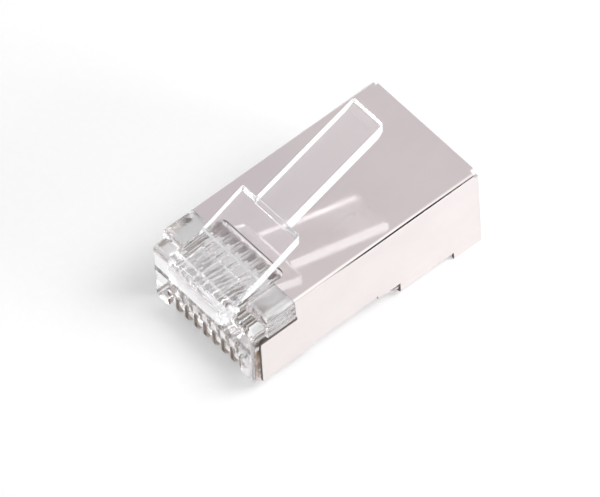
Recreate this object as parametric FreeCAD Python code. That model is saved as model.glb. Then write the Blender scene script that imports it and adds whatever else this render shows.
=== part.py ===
import FreeCAD, Part
import math
import os

# Shielded eight-way ethernet plug, as it comes off the reel: not yet crimped, with no cable in it.
# A clear moulded housing holds eight blade contacts in slots and is wrapped in one folded sheet of
# nickel-plated metal. The latch grows out of the top of the nose and slopes up towards the rear.
# All sizes are in millimetres. While it is modelled, y = 0 is the front edge of the shield's side
# flanges, y grows towards the cable, and z = 0 is the lower edge of the shield at the front. At the
# end everything moves so that the origin is the middle of the bounding box's bottom.

# Folded shield
width = 11.7
sheet = 0.25
plug_height = 6.5
shield_length = 21.05
bend_radius = 0.4
flange_drop = 1.97
flange_corner = 0.4
step_radius = 0.25
top_setback = 3.4
top_notch_width = 6.9
top_notch_depth = 1.2
top_notch_radius = 0.6
bottom_setback = 4.9
joggle_length = 2.15
joggle_drop = 1.22
joggle_lead = 0.2
low_floor_length = 4.55
relief_length = 0.6
relief_height = 0.3
skirt_length = 2.65
skirt_drop = 1.65
seam_gap = 0.08
bar_window_margin = 0.3
corner_relief_width = 0.55
corner_relief_length = 0.35

# Clear housing
fit_gap = 0.02
nose_reach = 0.62
nose_drop = 0.88
nose_front_radius = 0.45
nose_side_radius = 0.25
shoulder_front = 0.7
shoulder_inner = 3.5
shoulder_radius = 0.45
latch_recess_radius = 0.2
housing_radius = 0.2
edge_radius = 0.1
rear_inset = 0.25
wall = 0.78
cavity_radius = 0.6

# Contacts and the wires' channels
contact_count = 8
pitch = 1.02
blade_thickness = 0.35
blade_front = -0.2
blade_length = 3.15
blade_body = 2.3
blade_low = -0.8
blade_corner = 0.45
tine_count = 3
tine_base = 0.7
tine_tip = 0.12
tine_height = 1.0
crimp_stroke = 1.0
slide_gap = 0.03
stroke_spare = 0.1
rib_front = -0.1
contact_window_top = 1.85
channel_width = 0.9
channel_height = 1.1
funnel_length = 2.4
funnel_to_joggle = 1.6
funnel_radius = 0.2

# Latch, hinged where it leaves the nose. Its heights are measured from the plug's top.
latch_width = 6.3
latch_front = -1.45
root_drop = 1.37
root_rise = 0.4
root_radius = 0.5
root_corner = 0.7
panel_width = 4.2
panel_front = -0.85
panel_length = 2.2
panel_depth = 0.15
latch_corner = 0.15
crease_y = 2.2
crease_rise = 1.15
crease_radius = 0.3
wing_y = 6.3
wing_rise = 2.93
wing_depth = 0.95
tab_width = 3.3
tab_corner = 0.3
tip_y = 15.9
tip_rise = 6.42
tip_face = 0.72
tip_radius = 0.1
tip_chamfer = 0.6
tip_hook = 0.22
tab_depth = 1.15
underside_shift = 0.4
underside_lift = 0.17
underside_radius = 0.6
web_y = 0.6
web_drop = 0.1
web_radius = 0.4
hinge_y = -0.2
hinge_drop = 0.75
knuckle_radius = 0.55
knuckle_overlap = 0.05
turn_gap = 0.03
side_gap = 0.05

# Strain relief bar in the floor of the housing, hinged along its rear edge
bar_width = 6.8
bar_length = 3.0
bar_to_relief = 0.8
bar_crest = 1.2
bar_flat = 0.9
bar_flat_radius = 0.2
bar_pin_radius = 0.3
bar_gap = 0.08

# Places that follow from the sizes
half_width = width / 2
relief_start = shield_length - skirt_length - relief_length
joggle_end = relief_start - low_floor_length
joggle_start = joggle_end - joggle_length
flange_height = plug_height - flange_drop
shield_inner = half_width - sheet
housing_half = shield_inner - fit_gap
housing_top = plug_height - sheet - fit_gap
nose_top = plug_height - nose_drop
housing_low = sheet + fit_gap
housing_floor = housing_low - joggle_drop
housing_rear = shield_length - rear_inset
foot_rear = bottom_setback - fit_gap
channel_low = blade_low + blade_body + crimp_stroke + stroke_spare
channel_end = joggle_start - funnel_to_joggle - funnel_length
hinge_z = plug_height - hinge_drop
bar_rear = relief_start - bar_to_relief
bar_front = bar_rear - bar_length
bar_pivot_z = housing_floor + wall / 2
span = 100.0


def on_x(x):
    return lambda a, b: FreeCAD.Vector(x, a, b)


def on_y(y):
    return lambda a, b: FreeCAD.Vector(a, y, b)


def on_z(z):
    return lambda a, b: FreeCAD.Vector(a, b, z)


def outline(corners, place):
    """Closed face through corners (a, b, radius), each rounded by an arc of its own radius."""
    count = len(corners)
    joints = []
    for index, (a, b, radius) in enumerate(corners):
        here = FreeCAD.Vector(a, b, 0)
        before = FreeCAD.Vector(*corners[index - 1][:2], 0) - here
        after = FreeCAD.Vector(*corners[(index + 1) % count][:2], 0) - here
        before.normalize()
        after.normalize()
        half = before.getAngle(after) / 2
        cut = radius / math.tan(half)
        middle = here + (before + after).normalize() * (radius / math.sin(half) - radius)
        joints.append((here + before * cut, middle, here + after * cut, radius))
    edges = []
    for index, (entry, middle, leave, radius) in enumerate(joints):
        if radius > 0:
            arc = Part.Arc(place(entry.x, entry.y), place(middle.x, middle.y), place(leave.x, leave.y))
            edges.append(arc.toShape())
        following = joints[(index + 1) % count][0]
        start, end = place(leave.x, leave.y), place(following.x, following.y)
        if start.distanceToPoint(end) > 1e-6:
            edges.append(Part.makeLine(start, end))
    return Part.Face(Part.Wire(edges))


def across(corners, x0, x1):
    """Side outline of (y, z, radius) corners, carried from x0 to x1."""
    return outline(corners, on_x(x0)).extrude(FreeCAD.Vector(x1 - x0, 0, 0))


def along(corners, y0, y1):
    """Front outline of (x, z, radius) corners, carried from y0 to y1."""
    return outline(corners, on_y(y0)).extrude(FreeCAD.Vector(0, y1 - y0, 0))


def upwards(corners, z0, z1):
    """Plan outline of (x, y, radius) corners, carried from z0 to z1."""
    return outline(corners, on_z(z0)).extrude(FreeCAD.Vector(0, 0, z1 - z0))


def block(x0, x1, y0, y1, z0, z1):
    return Part.makeBox(x1 - x0, y1 - y0, z1 - z0, FreeCAD.Vector(x0, y0, z0))


def rod(y, z, radius, half_length):
    """Round bar along X, centred on the plug."""
    return Part.makeCylinder(radius, 2 * half_length, FreeCAD.Vector(-half_length, y, z),
                             FreeCAD.Vector(1, 0, 0))


def mirrored(shape):
    return shape.mirror(FreeCAD.Vector(0, 0, 0), FreeCAD.Vector(1, 0, 0))


def both_sides(shape):
    return [shape, mirrored(shape)]


def rounded_box(half, low, high, radius, y0, y1):
    corners = [(-half, low, radius), (half, low, radius), (half, high, radius), (-half, high, radius)]
    return along(corners, y0, y1)


def wrap(y0, y1, low):
    """Sheet folded all the way round, with its lower face at z = low."""
    outer = rounded_box(half_width, low, plug_height, bend_radius, y0, y1)
    inner = rounded_box(shield_inner, low + sheet, plug_height - sheet, bend_radius - sheet, y0, y1)
    return outer.cut(inner)


def hood(y0, y1, low):
    """Sheet folded over the top only, with side walls that end raw at z = low."""
    return wrap(y0, y1, low - span).cut(block(-span, span, y0, y1, low - 2 * span, low))


def step_corners(height):
    """The two rounded corners of the step down, at a height above the bottom sheet's lower face."""
    y0 = joggle_start + joggle_lead
    y1 = joggle_end - joggle_lead
    half_slope = math.atan2(joggle_drop, y1 - y0) / 2
    inner = joggle_lead / math.tan(half_slope) - sheet
    shift = (height - sheet) * math.tan(half_slope)
    return [(y0 + shift, height, inner + height),
            (y1 + shift, height - joggle_drop, inner + sheet - height)]


def joggle_strip():
    """The stretch of the bottom sheet that steps down, free of the side walls."""
    lower, upper = step_corners(0), step_corners(sheet)
    corners = [(joggle_start, 0, 0), *lower, (joggle_end, -joggle_drop, 0),
               (joggle_end, sheet - joggle_drop, 0), *reversed(upper), (joggle_start, sheet, 0)]
    half = half_width - bend_radius
    return across(corners, -half, half)


def make_shield():
    relief_end = relief_start + relief_length
    body = hood(0, bottom_setback, 0)
    body = body.fuse([
        wrap(bottom_setback, joggle_start, 0),
        hood(joggle_start, joggle_end, 0),
        joggle_strip(),
        wrap(joggle_end, relief_start, -joggle_drop),
        hood(relief_start, relief_end, relief_height - joggle_drop),
        hood(relief_end, shield_length, -skirt_drop)]).removeSplitter()
    side_view = across([
        (0, -span, 0), (shield_length, -span, 0), (shield_length, span, 0), (top_setback, span, 0),
        (top_setback, flange_height, step_radius), (0, flange_height, flange_corner)], -span, span)
    body = body.common(side_view)
    notch_half = top_notch_width / 2
    notch = upwards([
        (-notch_half, 0, 0), (notch_half, 0, 0),
        (notch_half, top_setback + top_notch_depth, top_notch_radius),
        (-notch_half, top_setback + top_notch_depth, top_notch_radius)],
        flange_height + bend_radius, plug_height + sheet)
    seam = block(-seam_gap / 2, seam_gap / 2, bottom_setback - sheet, relief_start + sheet,
                 -joggle_drop - sheet, sheet + sheet)
    window_half = bar_width / 2 + bar_window_margin
    bar_window = block(-window_half, window_half, bar_front - bar_window_margin, relief_start + sheet,
                       -joggle_drop - sheet, 2 * sheet - joggle_drop)
    corner = block(half_width - corner_relief_width, span, shield_length - corner_relief_length, span,
                   plug_height - bend_radius, span)
    return body.cut([notch, seam, bar_window] + both_sides(corner))


def contact_places():
    first = -pitch * (contact_count - 1) / 2
    return [first + pitch * index for index in range(contact_count)]


def make_contact(x):
    """Blade with a rounded lower edge and pointed tines that pierce the wire's insulation."""
    rear = blade_front + blade_length
    top = blade_low + blade_body
    corners = [(blade_front, blade_low, blade_corner), (rear, blade_low, blade_corner), (rear, top, 0)]
    step = blade_length / tine_count
    for index in reversed(range(tine_count)):
        middle = blade_front + step * (index + 0.5)
        corners += [(middle + tine_base / 2, top, 0), (middle + tine_tip / 2, top + tine_height, 0),
                    (middle - tine_tip / 2, top + tine_height, 0), (middle - tine_base / 2, top, 0)]
    corners.append((blade_front, top, 0))
    return across(corners, x - blade_thickness / 2, x + blade_thickness / 2)


def contact_slot(x):
    half = blade_thickness / 2 + slide_gap
    return block(x - half, x + half, blade_front - side_gap, blade_front + blade_length + side_gap,
                 -span, channel_low + slide_gap)


def wire_channel(x):
    """Tunnel for one wire, flat below and half round above."""
    half = channel_width / 2
    top = channel_low + channel_height
    corners = [(x - half, channel_low, 0), (x + half, channel_low, 0), (x + half, top, half),
               (x - half, top, half)]
    return along(corners, rib_front, channel_end + slide_gap)


def funnel():
    """Mouth that leads the wires from the cavity into their channels."""
    half = pitch * contact_count / 2
    top = channel_low + channel_height
    cavity_half = housing_half - wall
    low, high = housing_low + wall, housing_top - wall
    start = outline([(-half, channel_low, funnel_radius), (half, channel_low, funnel_radius),
                     (half, top, funnel_radius), (-half, top, funnel_radius)], on_y(channel_end))
    finish = outline([(-cavity_half, low, cavity_radius), (cavity_half, low, cavity_radius),
                      (cavity_half, high, cavity_radius), (-cavity_half, high, cavity_radius)],
                     on_y(channel_end + funnel_length))
    return Part.makeLoft([start.OuterWire, finish.OuterWire], True)


def cable_cavity():
    """Room for the cable, stepping down with the floor and open at the rear."""
    start = channel_end + funnel_length
    low, deep, high = housing_low + wall, housing_floor + wall, housing_top - wall
    upper_step, lower_step = step_corners(low)
    side = across([(start, low, 0), (upper_step[0], low, cavity_radius),
                   (lower_step[0], deep, cavity_radius), (span, deep, 0), (span, high, 0),
                   (start, high, 0)], -span, span)
    half = housing_half - wall
    rear = rounded_box(half, deep, high, cavity_radius, start, span)
    front = rounded_box(half, low, high, cavity_radius, start, upper_step[0])
    return side.common(rear.fuse(front))


def shoulder():
    """Raised block beside the latch, flush with the shield where it stands in front of it."""
    rear = top_setback - fit_gap
    low = flange_height + fit_gap
    side = across([(shoulder_front, low, 0), (rear, low, step_radius + fit_gap), (rear, plug_height, 0),
                   (shoulder_front, plug_height, shoulder_radius)], 0, span)
    front = along([(shoulder_inner, low, 0), (half_width, low, edge_radius),
                   (half_width, plug_height, bend_radius),
                   (shoulder_inner, plug_height, housing_radius)], 0, rear)
    return side.common(front)


def make_housing():
    """Block whose foot fills the bare front of the floor, flush with the sheet's lower face."""
    upper_step, lower_step = step_corners(housing_low)
    hood_front = top_setback - fit_gap
    side = across([
        (-nose_reach, 0, edge_radius), (-nose_reach, nose_top, nose_front_radius),
        (hood_front, nose_top, 0), (hood_front, housing_top, 0),
        (housing_rear, housing_top, edge_radius), (housing_rear, housing_floor, edge_radius),
        lower_step, upper_step, (foot_rear, housing_low, 0), (foot_rear, 0, 0)],
        -housing_half, housing_half)
    plan = upwards([
        (-housing_half, -nose_reach, nose_side_radius), (housing_half, -nose_reach, nose_side_radius),
        (housing_half, span, 0), (-housing_half, span, 0)], -span, span)
    foot = rounded_box(housing_half, 0, housing_top, housing_radius, -span, foot_rear)
    front = rounded_box(housing_half, housing_low, housing_top, housing_radius, foot_rear, joggle_start)
    rear = rounded_box(housing_half, housing_floor, housing_top, housing_radius, joggle_start, span)
    body = side.common(plan).common(foot.fuse([front, rear])).fuse(both_sides(shoulder())).removeSplitter()
    window_half = pitch * contact_count / 2
    window = block(-window_half, window_half, -span, rib_front, -span, contact_window_top)
    recess_rear = top_setback + top_notch_depth + fit_gap
    recess_front = shoulder_front - nose_reach
    recess = across([(recess_front, nose_top, 0), (recess_rear, nose_top, latch_recess_radius),
                     (recess_rear, span, 0), (recess_front, span, 0)], -shoulder_inner, shoulder_inner)
    cuts = [window, recess, cable_cavity(), funnel()]
    for x in contact_places():
        cuts += [contact_slot(x), wire_channel(x)]
    cuts.append(rod(hinge_y, hinge_z, knuckle_radius + turn_gap, latch_width / 2 + side_gap))
    bar_half = bar_width / 2 + side_gap
    bar_room_top = housing_floor + wall + sheet
    cuts.append(block(-bar_half, bar_half, bar_front - bar_gap, bar_rear, -span, bar_room_top))
    cuts.append(rod(bar_rear, bar_pivot_z, bar_pin_radius + turn_gap, bar_half))
    return body.cut(cuts)


def make_latch():
    """Wide arm with two locking wings and a narrower finger tab, on a round knuckle at the nose.

    A shallow flat-bottomed panel is sunk into the top of its root.
    """
    root_low, root_top = plug_height - root_drop, plug_height + root_rise
    crease_z, wing_z, tip_z = plug_height + crease_rise, plug_height + wing_rise, plug_height + tip_rise
    root_rear = -nose_reach - turn_gap
    side = across([
        (latch_front, root_low, latch_corner), (latch_front, root_top, root_radius),
        (crease_y, crease_z, crease_radius), (wing_y, wing_z, 0), (tip_y, tip_z, tip_radius),
        (tip_y, tip_z - tip_face, tip_radius),
        (tip_y - tip_chamfer, tip_z - tab_depth - tip_hook, 2 * tip_radius),
        (wing_y, wing_z - tab_depth, 0), (wing_y, wing_z - wing_depth, 0),
        (crease_y + underside_shift, crease_z - wing_depth + underside_lift, underside_radius),
        (web_y, plug_height - web_drop, web_radius),
        (hinge_y, hinge_z + knuckle_radius - knuckle_overlap, 0), (root_rear, hinge_z, 0),
        (root_rear, root_low, knuckle_overlap)],
        -latch_width / 2, latch_width / 2)
    half, tab_half = latch_width / 2, tab_width / 2
    right = [(half, latch_front, root_corner), (half, wing_y, latch_corner),
             (tab_half, wing_y, latch_corner), (tab_half, tip_y, tab_corner)]
    left = [(-x, y, radius) for x, y, radius in reversed(right)]
    plan = upwards(right + left, 0, 2 * tip_z)
    knuckle = rod(hinge_y, hinge_z, knuckle_radius, half)
    slope = (crease_z - root_top) / (crease_y - latch_front)
    panel_rear = panel_front + panel_length
    low_front = root_top + slope * (panel_front - latch_front) - panel_depth
    low_rear = root_top + slope * (panel_rear - latch_front) - panel_depth
    panel = across([(panel_front, low_front, 0), (panel_rear, low_rear, 0), (panel_rear, span, 0),
                    (panel_front, span, 0)], -panel_width / 2, panel_width / 2)
    return side.common(plan).fuse(knuckle).removeSplitter().cut(panel)


def make_bar():
    """Wedge-topped bar that is pushed up onto the cable's jacket, turning about its rear edge."""
    top = housing_floor + bar_crest
    web = bar_pin_radius / 2
    side = across([
        (bar_front, housing_floor, edge_radius / 2), (bar_front, top, edge_radius),
        (bar_front + bar_flat, top, bar_flat_radius),
        (bar_rear - 2 * bar_pin_radius, bar_pivot_z + web, edge_radius),
        (bar_rear, bar_pivot_z + web, 0), (bar_rear, bar_pivot_z - web, 0),
        (bar_rear - bar_pin_radius, housing_floor, 0)],
        -bar_width / 2, bar_width / 2)
    return side.fuse(rod(bar_rear, bar_pivot_z, bar_pin_radius, bar_width / 2)).removeSplitter()


pieces = {"housing": make_housing(), "shield": make_shield(), "latch": make_latch(),
          "strain_relief_bar": make_bar()}
for number, place in enumerate(contact_places(), start=1):
    pieces[f"contact_{number}"] = make_contact(place)

origin = FreeCAD.Vector(0, -(latch_front + shield_length) / 2, skirt_drop)
os.makedirs("parts", exist_ok=True)
for name, shape in pieces.items():
    shape.translate(origin)
    shape.exportStep(f"parts/{name}.step")
    box = shape.BoundBox
    print(f"{name}: {len(shape.Solids)} solid, valid {shape.isValid()}, {shape.Volume:.3f} mm3,"
          f" x {box.XMin:.2f} to {box.XMax:.2f}, y {box.YMin:.2f} to {box.YMax:.2f},"
          f" z {box.ZMin:.2f} to {box.ZMax:.2f}")
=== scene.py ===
# %% [markdown]
# # A clear and shielded network plug
# The plug is a moulded clear plastic body in a folded, nickel-plated sheet, with eight gold-plated
# blades in its nose. Its pieces come from the construction model, already at their real size and in
# their real places, so this lesson is about what such a photograph is made of: glass-like plastic,
# a soft mirror, and white surroundings for both of them to show. Lengths are metres.

# %% Load the frame
import math
import bpy
import numpy as np
from mathutils import Matrix, Vector


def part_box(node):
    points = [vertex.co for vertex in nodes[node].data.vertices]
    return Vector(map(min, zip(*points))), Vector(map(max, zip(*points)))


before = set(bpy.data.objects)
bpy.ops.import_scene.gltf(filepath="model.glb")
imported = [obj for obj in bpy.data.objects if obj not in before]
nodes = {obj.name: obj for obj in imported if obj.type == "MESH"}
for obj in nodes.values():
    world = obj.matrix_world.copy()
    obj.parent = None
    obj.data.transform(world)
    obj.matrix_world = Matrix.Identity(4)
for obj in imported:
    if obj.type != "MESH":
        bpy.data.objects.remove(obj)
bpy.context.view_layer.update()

MM = 0.001
clear_nodes = ["housing", "latch", "strain_relief_bar"]
blade_nodes = sorted(name for name in nodes if name.startswith("contact_"))
print("pieces:", sorted(nodes))

# %% [markdown]
# ## The photographer's camera
# The picture was taken with a long lens, so edges that are parallel on the plug stay parallel in the
# picture. The camera is given by the two angles it looks from, its roll, its distance and the point
# it looks at. The focal length is counted in picture widths, and times the sensor's width it is the
# lens in millimetres.

# %% Camera
CAMERA_AZIMUTH = math.radians(52.27)
CAMERA_ELEVATION = math.radians(52.89)
CAMERA_ROLL = math.radians(-3.76)
CAMERA_DISTANCE = 1.3
FOCAL_WIDTHS = 29.6
PIVOT = Vector((0.0, 1.2, 5.15)) * MM
SHIFT_RIGHT, SHIFT_UP = 1.701 * MM, 1.796 * MM


def place_camera():
    """Camera looking along minus `back`, with its picture turned by the roll about that line."""
    flat = math.cos(CAMERA_ELEVATION)
    back = Vector((math.sin(CAMERA_AZIMUTH) * flat, -math.cos(CAMERA_AZIMUTH) * flat,
                   math.sin(CAMERA_ELEVATION)))
    level = Vector((math.cos(CAMERA_AZIMUTH), math.sin(CAMERA_AZIMUTH), 0))
    upright = back.cross(level)
    right = level * math.cos(CAMERA_ROLL) + upright * math.sin(CAMERA_ROLL)
    up = upright * math.cos(CAMERA_ROLL) - level * math.sin(CAMERA_ROLL)
    camera_data = bpy.data.cameras.new("photo_camera")
    camera_data.lens = FOCAL_WIDTHS * camera_data.sensor_width
    camera_data.clip_start, camera_data.clip_end = 0.05, 5.0
    camera = bpy.data.objects.new("photo_camera", camera_data)
    bpy.context.scene.collection.objects.link(camera)
    place = PIVOT - right * SHIFT_RIGHT - up * SHIFT_UP + back * CAMERA_DISTANCE
    axes = Matrix((right, up, back)).transposed().to_4x4()
    camera.matrix_world = Matrix.Translation(place) @ axes
    return camera


bpy.context.scene.camera = place_camera()
print("lens", round(bpy.context.scene.camera.data.lens), "mm")

# %% [markdown]
# ## The table
# The plug lies with its contacts down. It touches the table with the rounded ends of the blades and
# with the two lower corners of the shield's rear skirt, so its own top isn't level: the table leans by
# a few degrees in the plug's frame. Two points give the lean: the blades' lower edge and the skirt's.

# %% Table
BLADE_TOUCH_INSET = 0.45 * MM
SKIRT_LENGTH = 2.65 * MM
FLOOR_HALF = 0.35

blade_low, blade_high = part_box(blade_nodes[0])
shield_low, shield_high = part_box("shield")
front_y, front_z = blade_low[1] + BLADE_TOUCH_INSET, blade_low[2]
rear_y, rear_z = shield_high[1] - SKIRT_LENGTH, shield_low[2]
lean = (rear_z - front_z) / (rear_y - front_y)


def floor_grid(u, v):
    """Plane through the two lines of contact: x = u, y = v, z = front_z + lean * (v - front_y)."""
    return np.stack([u, v, front_z + lean * (v - front_y)], axis=-1)


def grid_mesh(name, points):
    """Mesh of a rows x columns grid of points, with its quads turned to face up."""
    rows, columns = points.shape[:2]
    index = np.arange(rows * columns).reshape(rows, columns)
    quads = np.stack([index[:-1, :-1], index[1:, :-1], index[1:, 1:], index[:-1, 1:]], axis=-1)
    mesh = bpy.data.meshes.new(name)
    mesh.from_pydata(points.reshape(-1, 3).tolist(), [], quads.reshape(-1, 4).tolist())
    thing = bpy.data.objects.new(name, mesh)
    bpy.context.scene.collection.objects.link(thing)
    return thing


side_steps = np.linspace(-FLOOR_HALF, FLOOR_HALF, 3)
table = grid_mesh("table", floor_grid(*np.meshgrid(side_steps, side_steps, indexing="ij")))
print("table leans", round(math.degrees(math.atan(lean)), 2), "degrees")

# %% [markdown]
# ## Helpers for nodes
# The room and every finish are trees of nodes, and a tree is easier to read as a list of steps than as
# a picture. These helpers make one node at a time and give the socket that the next step reads. The
# last one tells which kind of ray is asking, so the room can look one way and light another way.

# %% Node helpers
def new_tree(owner):
    owner.use_nodes = True
    tree = owner.node_tree
    tree.nodes.clear()
    return tree


def add_node(tree, kind, inputs=(), **settings):
    """New node of a kind, with its settings, and each input given a value or joined to a socket."""
    node = tree.nodes.new(kind)
    for key, value in settings.items():
        setattr(node, key, value)
    for key, value in dict(inputs).items():
        if isinstance(value, bpy.types.NodeSocket):
            tree.links.new(value, node.inputs[key])
        else:
            node.inputs[key].default_value = value
    return node


def maths(tree, operation, first, second=0.0):
    return add_node(tree, "ShaderNodeMath", {0: first, 1: second}, operation=operation).outputs[0]


def remap(tree, value, low, high, new_low, new_high):
    """Value taken smoothly from one range to another, and held at the new range's ends."""
    node = add_node(tree, "ShaderNodeMapRange", {"Value": value, "From Min": low, "From Max": high,
                    "To Min": new_low, "To Max": new_high}, interpolation_type="SMOOTHSTEP")
    return node.outputs["Result"]


def mix_colours(tree, amount, first, second):
    """First colour where the amount is 0, second where it is 1."""
    node = add_node(tree, "ShaderNodeMix", data_type="RGBA")
    sockets = {"Factor": node.inputs[0], "A": node.inputs[6], "B": node.inputs[7]}
    for key, value in (("Factor", amount), ("A", first), ("B", second)):
        if isinstance(value, bpy.types.NodeSocket):
            tree.links.new(value, sockets[key])
        else:
            sockets[key].default_value = (*value, 1) if isinstance(value, tuple) else value
    return node.outputs[2]


def ray_is(tree, *names):
    """1 for a ray that is any of the named kinds, 0 for any other."""
    path = add_node(tree, "ShaderNodeLightPath")
    value = path.outputs[names[0]]
    for name in names[1:]:
        value = maths(tree, "MAXIMUM", value, path.outputs[name])
    return value


print("node helpers: new_tree, add_node, maths, remap, mix_colours, ray_is")

# %% [markdown]
# ## White surroundings
# Metal and clear plastic show what is around them, so the room matters more than the lamps. The room
# is white to the camera, and greyer on its left where the metal and the plastic show it. Behind on its
# right the metal sees a brighter wall above a dark strip. These two draw the white band and the dark
# line that a bright sheet shows along its bend. The world is softer where it only lights things.

# %% World
WORLD_LIGHT = 0.44
STUDIO_LEFT, STUDIO_RIGHT = (0.735, 0.705, 0.725), (1.0, 1.0, 1.0)
DARK_STRIP, BRIGHT_WALL = 0.03, 1.25
GREY_TO_WHITE_X, BRIGHTER_FROM_X = (-0.4, 0.6), (0.0, 0.25)
STRIP_FROM_X, STRIP_FROM_Y = (0.55, 0.75), (0.05, 0.25)
STRIP_FROM_Z, STRIP_TO_Z = (-0.12, 0.0), (0.42, 0.52)


def make_world():
    """World whose brightness depends on the kind of ray and on the direction that it goes in."""
    world = bpy.data.worlds.new("white_studio")
    bpy.context.scene.world = world
    tree = new_tree(world)
    towards = add_node(tree, "ShaderNodeTexCoord").outputs["Generated"]
    parts = add_node(tree, "ShaderNodeSeparateXYZ", {0: towards})
    rightness = remap(tree, parts.outputs["X"], *GREY_TO_WHITE_X, 0.0, 1.0)
    wall = remap(tree, parts.outputs["X"], *BRIGHTER_FROM_X, 1.0, BRIGHT_WALL)
    above = remap(tree, parts.outputs["Z"], *STRIP_TO_Z, DARK_STRIP, wall)
    below = remap(tree, parts.outputs["Z"], *STRIP_FROM_Z, 1.0, DARK_STRIP)
    beside = remap(tree, parts.outputs["X"], *STRIP_FROM_X, 1.0, 0.0)
    in_front = remap(tree, parts.outputs["Y"], *STRIP_FROM_Y, 1.0, 0.0)
    beside = maths(tree, "MAXIMUM", beside, in_front)
    strip = maths(tree, "MAXIMUM", maths(tree, "MAXIMUM", above, below), beside)
    strip = maths(tree, "MULTIPLY", strip, ray_is(tree, "Is Glossy Ray"))
    even = maths(tree, "MINIMUM", ray_is(tree, "Is Camera Ray", "Is Transmission Ray", "Diffuse Depth"), 1.0)
    strip = maths(tree, "MAXIMUM", strip, even)
    rightness = maths(tree, "MAXIMUM", rightness, ray_is(tree, "Is Camera Ray"))
    walls = mix_colours(tree, rightness, STUDIO_LEFT, STUDIO_RIGHT)
    seen = add_node(tree, "ShaderNodeBackground", {"Color": walls, "Strength": strip})
    lit = add_node(tree, "ShaderNodeBackground", {"Color": (1, 1, 1, 1), "Strength": WORLD_LIGHT})
    direct = ray_is(tree, "Is Camera Ray", "Is Glossy Ray", "Is Transmission Ray")
    mix = add_node(tree, "ShaderNodeMixShader", {0: direct, 1: lit.outputs[0], 2: seen.outputs[0]})
    add_node(tree, "ShaderNodeOutputWorld", {"Surface": mix.outputs[0]})


make_world()
print("world gives", WORLD_LIGHT, "of full light, with a strip at", DARK_STRIP, "and a wall at", BRIGHT_WALL)

# %% [markdown]
# ## Lamps
# One large soft lamp stands behind the plug on its right, so the shadow falls to the left and front. A
# low one beside it lights the upright walls of the latch, which shine white above the sheet, and a
# weak one on the left lights their other sides. The metal shows the white room and not the lamps, as
# it would if they stood behind a diffuser.

# %% Lamps
def soft_lamp(name, place, size, power):
    """Square area lamp at a place and of a size in millimetres, of a power in watts, facing the plug."""
    data = bpy.data.lights.new(name, "AREA")
    data.size = size * MM
    data.energy = power
    lamp = bpy.data.objects.new(name, data)
    lamp.visible_glossy = False
    bpy.context.scene.collection.objects.link(lamp)
    lamp.location = Vector(place) * MM
    lamp.rotation_mode = "QUATERNION"
    lamp.rotation_quaternion = (lamp.location - PIVOT).to_track_quat("Z", "Y")
    print(name, "lamp of", power, "W at", round((lamp.location - PIVOT).length / MM), "mm")


soft_lamp("rear", (155, 253, 300), 200, 1.25)
soft_lamp("low_right", (340, 188, 83), 130, 0.95)
soft_lamp("low_left", (-330, 120, 170), 150, 0.15)

# %% [markdown]
# ## Edges
# No moulded or stamped edge is perfectly sharp. A construction mesh is loose triangles, so they are
# merged, flat neighbours are joined into one face, and a narrow bevel then rounds each sharp edge. On
# clear plastic these small rounds catch the light and draw the white outlines seen in the picture.

# %% Rounded edges
MERGE_WITHIN = 0.001 * MM
FLAT_WITHIN, SHARP_FROM = math.radians(1), math.radians(35)


def soften(names, width):
    for name in names:
        piece = nodes[name]
        merge = piece.modifiers.new("merge", "WELD")
        merge.merge_threshold = MERGE_WITHIN
        join = piece.modifiers.new("join_flat", "DECIMATE")
        join.decimate_type = "DISSOLVE"
        join.angle_limit = FLAT_WITHIN
        rounding = piece.modifiers.new("round_edges", "BEVEL")
        rounding.width = width
        rounding.segments = 2
        rounding.limit_method = "ANGLE"
        rounding.angle_limit = SHARP_FROM
        rounding.harden_normals = True
    print("rounded", len(names), "pieces by", width / MM, "mm")


soften(clear_nodes, 0.05 * MM)
soften(["shield"], 0.03 * MM)
soften(blade_nodes, 0.04 * MM)

# %% [markdown]
# ## Patterns shared by the finishes
# Four small patterns give every finish its fine detail. They read the piece's own coordinates, so the
# detail stays on the piece when it moves. One is a cloudy or stretched grain, one draws sparse hairline
# scratches, one marks the surfaces that face along an axis, and one marks a box in the piece. Each is
# kept once, as a group of nodes. The grain and the two masks also have a function with their steps, for
# a material that has to hold the steps itself.

# %% Grain and hairlines
GRAIN_RANGE = (0.3, 0.7)
LINE_LEVEL, LINE_WIDTH = 0.5, 0.008
PATCH_SCALE, PATCH_RANGE = 0.4, (0.5, 0.6)


def new_group(name, inputs, output):
    """Node group with number inputs and one number output; gives the tree and its two end nodes."""
    group = bpy.data.node_groups.new(name, "ShaderNodeTree")
    for label, value in inputs.items():
        socket = group.interface.new_socket(label, in_out="INPUT", socket_type="NodeSocketFloat")
        socket.default_value = value
    group.interface.new_socket(output, in_out="OUTPUT", socket_type="NodeSocketFloat")
    return group, add_node(group, "NodeGroupInput"), add_node(group, "NodeGroupOutput")


def stretched_place(tree, stretch):
    """The point on the piece, with Y shortened so that a pattern on it is drawn out along the plug."""
    place = add_node(tree, "ShaderNodeTexCoord").outputs["Object"]
    squeeze = add_node(tree, "ShaderNodeCombineXYZ", {"X": 1.0, "Y": maths(tree, "DIVIDE", 1.0, stretch),
                       "Z": 1.0}).outputs[0]
    return add_node(tree, "ShaderNodeVectorMath", {0: place, 1: squeeze}, operation="MULTIPLY").outputs[0]


def grain_steps(tree, size, stretch, low, high):
    """Noise of a size in millimetres, between a low and a high value."""
    scale = maths(tree, "DIVIDE", 1.0 / MM, size)
    noise = add_node(tree, "ShaderNodeTexNoise", {"Vector": stretched_place(tree, stretch), "Scale": scale,
                     "Detail": 3.0, "Roughness": 0.6})
    return remap(tree, noise.outputs["Fac"], *GRAIN_RANGE, low, high)


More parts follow.
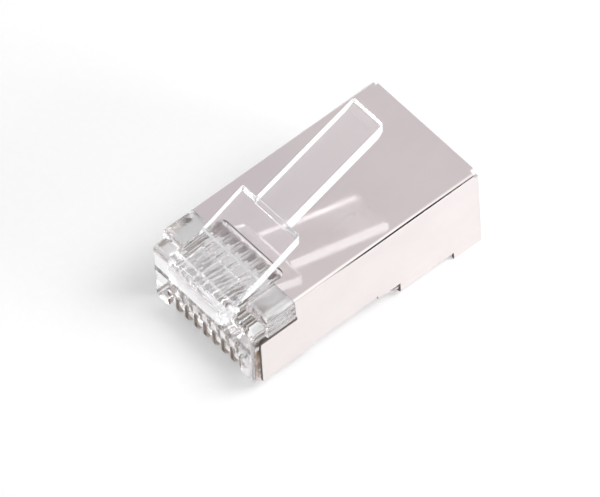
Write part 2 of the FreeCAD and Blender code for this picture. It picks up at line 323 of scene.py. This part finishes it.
def make_grain():
    inputs = {"Size": 1.0, "Stretch": 1.0, "Low": 0.0, "High": 1.0}
    tree, start, end = new_group("grain", inputs, "Value")
    value = grain_steps(tree, *(start.outputs[label] for label in inputs))
    tree.links.new(value, end.inputs["Value"])
    return tree


def make_hairlines():
    """Thin lines where a smooth noise crosses one level, kept only where a second noise is high."""
    tree, start, end = new_group("hairlines", {"Size": 1.0, "Stretch": 6.0, "Amount": 0.5}, "Mask")
    scale = maths(tree, "DIVIDE", 1.0 / MM, start.outputs["Size"])
    place = stretched_place(tree, start.outputs["Stretch"])
    line = add_node(tree, "ShaderNodeTexNoise", {"Vector": place, "Scale": scale, "Detail": 0.0})
    coarse = maths(tree, "MULTIPLY", scale, PATCH_SCALE)
    patch = add_node(tree, "ShaderNodeTexNoise", {"Vector": place, "Scale": coarse, "Detail": 1.0})
    off_level = maths(tree, "ABSOLUTE", maths(tree, "SUBTRACT", line.outputs["Fac"], LINE_LEVEL))
    thin = remap(tree, off_level, 0.0, LINE_WIDTH, 1.0, 0.0)
    kept = remap(tree, patch.outputs["Fac"], *PATCH_RANGE, 0.0, start.outputs["Amount"])
    tree.links.new(maths(tree, "MULTIPLY", thin, kept), end.inputs["Mask"])
    return tree


groups = {"grain": make_grain(), "hairlines": make_hairlines()}
print("pattern groups:", ", ".join(groups))

# %% Masks
FAR = 50.0
WIDE_BOX = {f"{key} {end}": value for key in "XYZ" for end, value in (("low", -FAR), ("high", FAR))}
SOFT_SIDE = 0.05
COSINE_RANGE = (0.6, 0.9)


def facing_steps(tree, x, y, z):
    """1 on surfaces that face along the axis given by its three numbers, either way, 0 on the others."""
    normal = add_node(tree, "ShaderNodeTexCoord").outputs["Normal"]
    axis = add_node(tree, "ShaderNodeCombineXYZ", {"X": x, "Y": y, "Z": z}).outputs[0]
    along = add_node(tree, "ShaderNodeVectorMath", {0: normal, 1: axis}, operation="DOT_PRODUCT")
    return remap(tree, maths(tree, "ABSOLUTE", along.outputs["Value"]), *COSINE_RANGE, 0.0, 1.0)


def inside_steps(tree, limits, soft):
    """1 where the point on the piece is inside a box with soft sides, given in millimetres."""
    place = add_node(tree, "ShaderNodeTexCoord").outputs["Object"]
    parts = add_node(tree, "ShaderNodeSeparateXYZ", {0: place})
    depth = FAR
    for key in "XYZ":
        at = maths(tree, "DIVIDE", parts.outputs[key], MM)
        depth = maths(tree, "MINIMUM", depth, maths(tree, "SUBTRACT", at, limits[f"{key} low"]))
        depth = maths(tree, "MINIMUM", depth, maths(tree, "SUBTRACT", limits[f"{key} high"], at))
    return remap(tree, maths(tree, "DIVIDE", depth, soft), -0.5, 0.5, 0.0, 1.0)


def make_facing():
    tree, start, end = new_group("facing", {"X": 0.0, "Y": 0.0, "Z": 0.0}, "Mask")
    tree.links.new(facing_steps(tree, *(start.outputs[key] for key in "XYZ")), end.inputs["Mask"])
    return tree


def make_inside():
    tree, start, end = new_group("inside", {**WIDE_BOX, "Soft": SOFT_SIDE}, "Mask")
    limits = {label: start.outputs[label] for label in WIDE_BOX}
    tree.links.new(inside_steps(tree, limits, start.outputs["Soft"]), end.inputs["Mask"])
    return tree


groups |= {"facing": make_facing(), "inside": make_inside()}
print("pattern groups:", ", ".join(groups))

# %% [markdown]
# ## Putting a finish together
# A finish starts as an empty material with the plain values of its shader. The patterns are placed in
# it and joined to the colour, the roughness and the bump, then it gets its output and goes on a piece.
# A value that is the same all over stays on the shader itself, where other programs can read it. A mask
# that mixes two shaders is made of plain nodes in the material, because a group only feeds the sockets
# of the Principled shader.

# %% Finish helpers
def pattern(tree, name, **values):
    """One of the groups placed in a material with its own values; gives its output."""
    node = add_node(tree, "ShaderNodeGroup", node_tree=groups[name])
    for key, value in values.items():
        node.inputs[key.replace("_", " ")].default_value = value
    return node.outputs[0]


def plain_facing(tree, axis):
    """The mask of the surfaces that face along X, Y or Z, in plain nodes."""
    return facing_steps(tree, *(float(key == axis) for key in "XYZ"))


def plain_inside(tree, soft=SOFT_SIDE, **limits):
    """The mask of a box, in plain nodes."""
    given = {key.replace("_", " "): value for key, value in limits.items()}
    return inside_steps(tree, {**WIDE_BOX, **given}, soft)


def bump(tree, height, depth):
    """Normal that a relief of a depth in millimetres gives."""
    return add_node(tree, "ShaderNodeBump", {"Height": height, "Distance": depth * MM}).outputs[0]


def principled(name, plain=()):
    """New material with a Principled shader and its plain values; its surface is still to join."""
    material = bpy.data.materials.new(name)
    tree = new_tree(material)
    return material, tree, add_node(tree, "ShaderNodeBsdfPrincipled", plain)


def finish_surface(tree, surface):
    add_node(tree, "ShaderNodeOutputMaterial", {"Surface": surface})


def dress(names, material):
    for name in names:
        mesh = nodes[name].data
        mesh.materials.clear()
        mesh.materials.append(material)
    print(material.name, "on", len(names), "pieces")


print("finish helpers: pattern, plain_facing, plain_inside, bump, principled, finish_surface, dress")

# %% [markdown]
# ## Nickel-plated sheet
# The shield is a soft mirror. Rolling has left a fine grain along the plug, the plating's tone drifts a
# little, and handling has left hairlines. Its front left is painted darker and a little mauve, as a
# painted dimmer reflection. Where the sheet was cut through, its edge is duller and is painted nearly
# black as shade, and a painted shadow runs along the top rim of the two front flanges, where the plastic
# meets them.

# %% Nickel
NICKEL, NICKEL_DARKER = (0.845, 0.79, 0.783), (0.82, 0.765, 0.758)
# the first tone below is a painted dimmer reflection for the front left of the sheet
NICKEL_DIM_REFLECTION, NICKEL_SCRATCHED = (0.755, 0.705, 0.715), (0.74, 0.69, 0.68)
# the cut-edge tone is duller cut steel, painted nearly black as shade
SHEET_CUT_AND_SHADE, SHEET_CUT_ROUGHER = (0.14, 0.12, 0.11), 0.22
SHEET_RELIEF = 0.0003


def nickel():
    material, tree, shader = principled("nickel_plate", {"Metallic": 1.0})
    tone = mix_colours(tree, pattern(tree, "grain", Size=3.0, Stretch=2.0), NICKEL, NICKEL_DARKER)
    # painted dimmer reflection: the front left of the sheet is painted darker and a little mauve
    painted_dim_reflection = pattern(tree, "inside", X_high=0.0, Y_high=2.0, Z_low=6.0, Soft=12.0)
    tone = mix_colours(tree, painted_dim_reflection, tone, NICKEL_DIM_REFLECTION)
    marks = pattern(tree, "hairlines", Size=1.6, Stretch=5.0, Amount=0.6)
    tone = mix_colours(tree, marks, tone, NICKEL_SCRATCHED)
    # painted shadow: a dark band along the top rim of the two front flanges, where the plastic meets them
    flange_rim_shadow = pattern(tree, "inside", Y_high=-6.3, Z_low=5.98, Z_high=6.4, Soft=0.08)
    # cut edges: the sheet's duller cut faces, painted nearly black as shade, together with the flange rim's
    # painted shadow
    cut_edge_and_shade = maths(tree, "MAXIMUM", pattern(tree, "facing", Y=1.0), flange_rim_shadow)
    tone = mix_colours(tree, cut_edge_and_shade, tone, SHEET_CUT_AND_SHADE)
    tree.links.new(tone, shader.inputs["Base Color"])
    rolled = pattern(tree, "grain", Size=0.05, Stretch=14.0, Low=-0.03, High=0.03)
    cloud = pattern(tree, "grain", Size=1.8, Low=0.07, High=0.13)
    rougher = maths(tree, "MULTIPLY", cut_edge_and_shade, SHEET_CUT_ROUGHER)
    rough = maths(tree, "ADD", maths(tree, "ADD", cloud, rolled), rougher)
    tree.links.new(rough, shader.inputs["Roughness"])
    relief = maths(tree, "ADD", pattern(tree, "grain", Size=0.09, Stretch=3.0), marks)
    tree.links.new(bump(tree, relief, SHEET_RELIEF), shader.inputs["Normal"])
    finish_surface(tree, shader.outputs[0])
    return material


dress(["shield"], nickel())

# %% [markdown]
# ## Gold-plated blades
# The blades are stamped from bronze strip and flashed with a very thin layer of gold, so their flat
# sides are a pale beige. It is yellower on the tines. The narrow edges were cut by the stamping tool
# and are duller bare bronze; their dark brown tone is partly painted shade.

# %% Gold
FLAT_GOLD, FLAT_GOLD_PALER, TINE_GOLD = (0.80, 0.73, 0.67), (0.86, 0.79, 0.73), (0.85, 0.74, 0.52)
GOLD_SCRATCHED = (0.60, 0.47, 0.36)
# the blades' cut-edge tone is duller bare bronze, painted dark brown partly as shade
BLADE_CUT_AND_SHADE, BLADE_CUT_ROUGHER = (0.34, 0.27, 0.24), 0.2
BLADE_RELIEF = 0.0004


def gold():
    material, tree, shader = principled("gold_plate", {"Metallic": 1.0})
    flats = mix_colours(tree, pattern(tree, "grain", Size=0.5), FLAT_GOLD, FLAT_GOLD_PALER)
    tines = pattern(tree, "inside", Z_low=2.9, Soft=0.6)
    tone = mix_colours(tree, tines, flats, TINE_GOLD)
    marks = pattern(tree, "hairlines", Size=0.5, Stretch=3.0, Amount=0.5)
    tone = mix_colours(tree, marks, tone, GOLD_SCRATCHED)
    # narrow edges: duller cut bronze, with painted shade in their dark brown tone
    cut_edge_and_shade = maths(tree, "SUBTRACT", 1.0, pattern(tree, "facing", X=1.0))
    tone = mix_colours(tree, cut_edge_and_shade, tone, BLADE_CUT_AND_SHADE)
    tree.links.new(tone, shader.inputs["Base Color"])
    rough = maths(tree, "ADD", pattern(tree, "grain", Size=0.25, Low=0.14, High=0.26),
                  maths(tree, "MULTIPLY", cut_edge_and_shade, BLADE_CUT_ROUGHER))
    tree.links.new(rough, shader.inputs["Roughness"])
    relief = pattern(tree, "grain", Size=0.06, Stretch=2.0)
    tree.links.new(bump(tree, relief, BLADE_RELIEF), shader.inputs["Normal"])
    finish_surface(tree, shader.outputs[0])
    return material


dress(blade_nodes, gold())

# %% [markdown]
# ## Clear polycarbonate
# The housing, the latch and the strain relief bar are moulded from one clear plastic. It bends light
# strongly, its surface waves a little where the plastic flowed, and it has faint scratches. The latch's
# upright walls come out of a mould that was left matt, so they are frosted: part of the light scatters
# there and they look white. The front of its root and the tops of the two shoulders are satin, and
# blur what lies behind them. Lamps would not shine through glass in a path tracer, so their rays are
# let through as if the plastic were a pale film.

# %% Clear plastic
REFRACTION = 1.585
WAVE_DEPTH = 0.003
CLEAR = (0.998, 0.997, 0.998, 1)
MILKY = (0.96, 0.96, 0.97, 1)
FILM = (0.985, 0.985, 0.99, 1)
MILKY_LOW, MILKY_HIGH = 0.03, 0.05
SATIN = 0.3
FRONT_FROST, PANEL_FROST = 0.2, 0.3


def clear_plastic(name, frost_and_highlight=None, satin=None):
    """Refracting plastic; given a mask of frost and painted highlight lines it is a little milky, and
    scatters light where it is 1.

    A satin mask marks where the surface only blurs what is seen through it.
    """
    material, tree, shader = principled(
        name, {"Base Color": CLEAR, "Metallic": 0.0, "IOR": REFRACTION, "Transmission Weight": 1.0})
    marks = pattern(tree, "hairlines", Size=0.9, Stretch=2.0, Amount=0.25)
    haze = pattern(tree, "grain", Size=0.7, Low=0.0, High=0.05)
    rough = maths(tree, "ADD", haze, marks)
    if satin:
        rough = maths(tree, "ADD", rough, maths(tree, "MULTIPLY", satin(tree), SATIN))
    tree.links.new(rough, shader.inputs["Roughness"])
    waves = pattern(tree, "grain", Size=1.6, Stretch=1.5)
    tree.links.new(bump(tree, waves, WAVE_DEPTH), shader.inputs["Normal"])
    plastic = shader.outputs[0]
    if frost_and_highlight:
        # the scattering share holds the matt walls and also the painted highlight line on the wing
        frost_and_highlight_share = maths(tree, "MULTIPLY", frost_and_highlight(tree), grain_steps(tree, 0.12, 1.0, 0.85, 1.0))
        milky = grain_steps(tree, 2.0, 1.0, MILKY_LOW, MILKY_HIGH)
        back = add_node(tree, "ShaderNodeBsdfDiffuse", {"Color": MILKY})
        through = add_node(tree, "ShaderNodeBsdfTranslucent", {"Color": MILKY})
        scatter = add_node(tree, "ShaderNodeMixShader", {0: 0.5, 1: back.outputs[0], 2: through.outputs[0]})
        plastic = add_node(tree, "ShaderNodeMixShader", {0: maths(tree, "MAXIMUM", milky, frost_and_highlight_share),
                           1: plastic, 2: scatter.outputs[0]}).outputs[0]
    film = add_node(tree, "ShaderNodeBsdfTransparent", {"Color": FILM})
    lamp_ray = ray_is(tree, "Is Shadow Ray")
    finish_surface(tree, add_node(tree, "ShaderNodeMixShader", {0: lamp_ray, 1: plastic,
                   2: film.outputs[0]}).outputs[0])
    return material


def shoulder_satin(tree):
    """Share of blur on the housing: the tops of its two shoulders."""
    tops = pattern(tree, "inside", Z_low=8.0)
    return maths(tree, "MULTIPLY", pattern(tree, "facing", Z=1.0), tops)


def root_front(tree):
    """1 on the front of the latch's root."""
    foremost = plain_inside(tree, Y_high=-11.0, soft=0.4)
    return maths(tree, "MULTIPLY", plain_facing(tree, "Y"), foremost)


def latch_frost_and_highlight(tree):
    """Share of scattering on the latch's matt walls, root front and panel, along its crease, and on a white
    line along the wing's rear top edge, which is a painted highlight.
    """
    facing_up = plain_facing(tree, "Z")
    behind_root = plain_inside(tree, Y_low=-7.7, soft=0.6)
    walls = maths(tree, "MULTIPLY", plain_facing(tree, "X"), behind_root)
    panel = plain_inside(tree, X_low=-2.1, X_high=2.1, Y_low=-10.65, Y_high=-8.45, Z_low=8.2)
    crease = plain_inside(tree, Y_low=-7.62, Y_high=-7.42, Z_low=8.9)
    # painted highlight: a thin white scattering line along the wing's rear top edge
    wing_edge_highlight = plain_inside(tree, Y_low=-3.56, Y_high=-3.46, Z_low=10.8)
    front = maths(tree, "MULTIPLY", root_front(tree), FRONT_FROST)
    full = maths(tree, "MAXIMUM", walls, front)
    # the crease line, and the painted highlight along the wing's rear edge
    lines = maths(tree, "MULTIPLY", maths(tree, "MAXIMUM", crease, wing_edge_highlight), facing_up)
    floor = maths(tree, "MULTIPLY", maths(tree, "MULTIPLY", panel, facing_up), PANEL_FROST)
    return maths(tree, "MAXIMUM", maths(tree, "MAXIMUM", full, lines), floor)


dress(["housing", "strain_relief_bar"], clear_plastic("clear_polycarbonate", satin=shoulder_satin))
dress(["latch"], clear_plastic("frosted_polycarbonate", latch_frost_and_highlight, root_front))

# %% [markdown]
# ## The table's surface
# A sheet of matt white board, with a barely visible grain. It is also the white background: a share of
# plain white is mixed in where the camera sees the board directly, and a larger share where it is seen
# in the metal or through the plastic. The rest still takes the plug's shadow.

# %% Table surface
SHARE_DIRECT, SHARE_THROUGH, SHARE_MIRROR = 0.34, 0.5, 0.12
BOARD, BOARD_PALER = (0.97, 0.97, 0.975), (0.985, 0.985, 0.985)


def white_board():
    material, tree, shader = principled("white_board", {"Roughness": 0.9})
    fibres = pattern(tree, "grain", Size=0.6)
    tree.links.new(mix_colours(tree, fibres, BOARD, BOARD_PALER), shader.inputs["Base Color"])
    direct = maths(tree, "MULTIPLY", ray_is(tree, "Is Camera Ray"), SHARE_DIRECT)
    through = maths(tree, "MULTIPLY", ray_is(tree, "Is Transmission Ray"), SHARE_THROUGH)
    mirror = maths(tree, "MULTIPLY", ray_is(tree, "Is Glossy Ray"), SHARE_MIRROR)
    share = maths(tree, "MAXIMUM", direct, maths(tree, "MAXIMUM", through, mirror))
    white = add_node(tree, "ShaderNodeEmission", {"Color": (1, 1, 1, 1), "Strength": 1.0})
    board = add_node(tree, "ShaderNodeMixShader", {0: share, 1: shader.outputs[0], 2: white.outputs[0]})
    finish_surface(tree, board.outputs[0])
    return material


table.data.materials.append(white_board())
print("white share seen directly, through plastic, in metal:", SHARE_DIRECT, SHARE_THROUGH, SHARE_MIRROR)

# %% [markdown]
# ## Light through many layers
# A ray passes a wall of clear plastic at each slot and channel of the nose. It is followed through
# many of them, because a ray that is given up inside the plastic leaves a black spot.

# %% Scene settings
RAY_STEPS = 32
scene = bpy.context.scene
scene.cycles.max_bounces = RAY_STEPS
scene.cycles.transmission_bounces = RAY_STEPS
scene.cycles.glossy_bounces = RAY_STEPS
scene.view_settings.view_transform = "Standard"
print("a ray is followed for", RAY_STEPS, "steps")
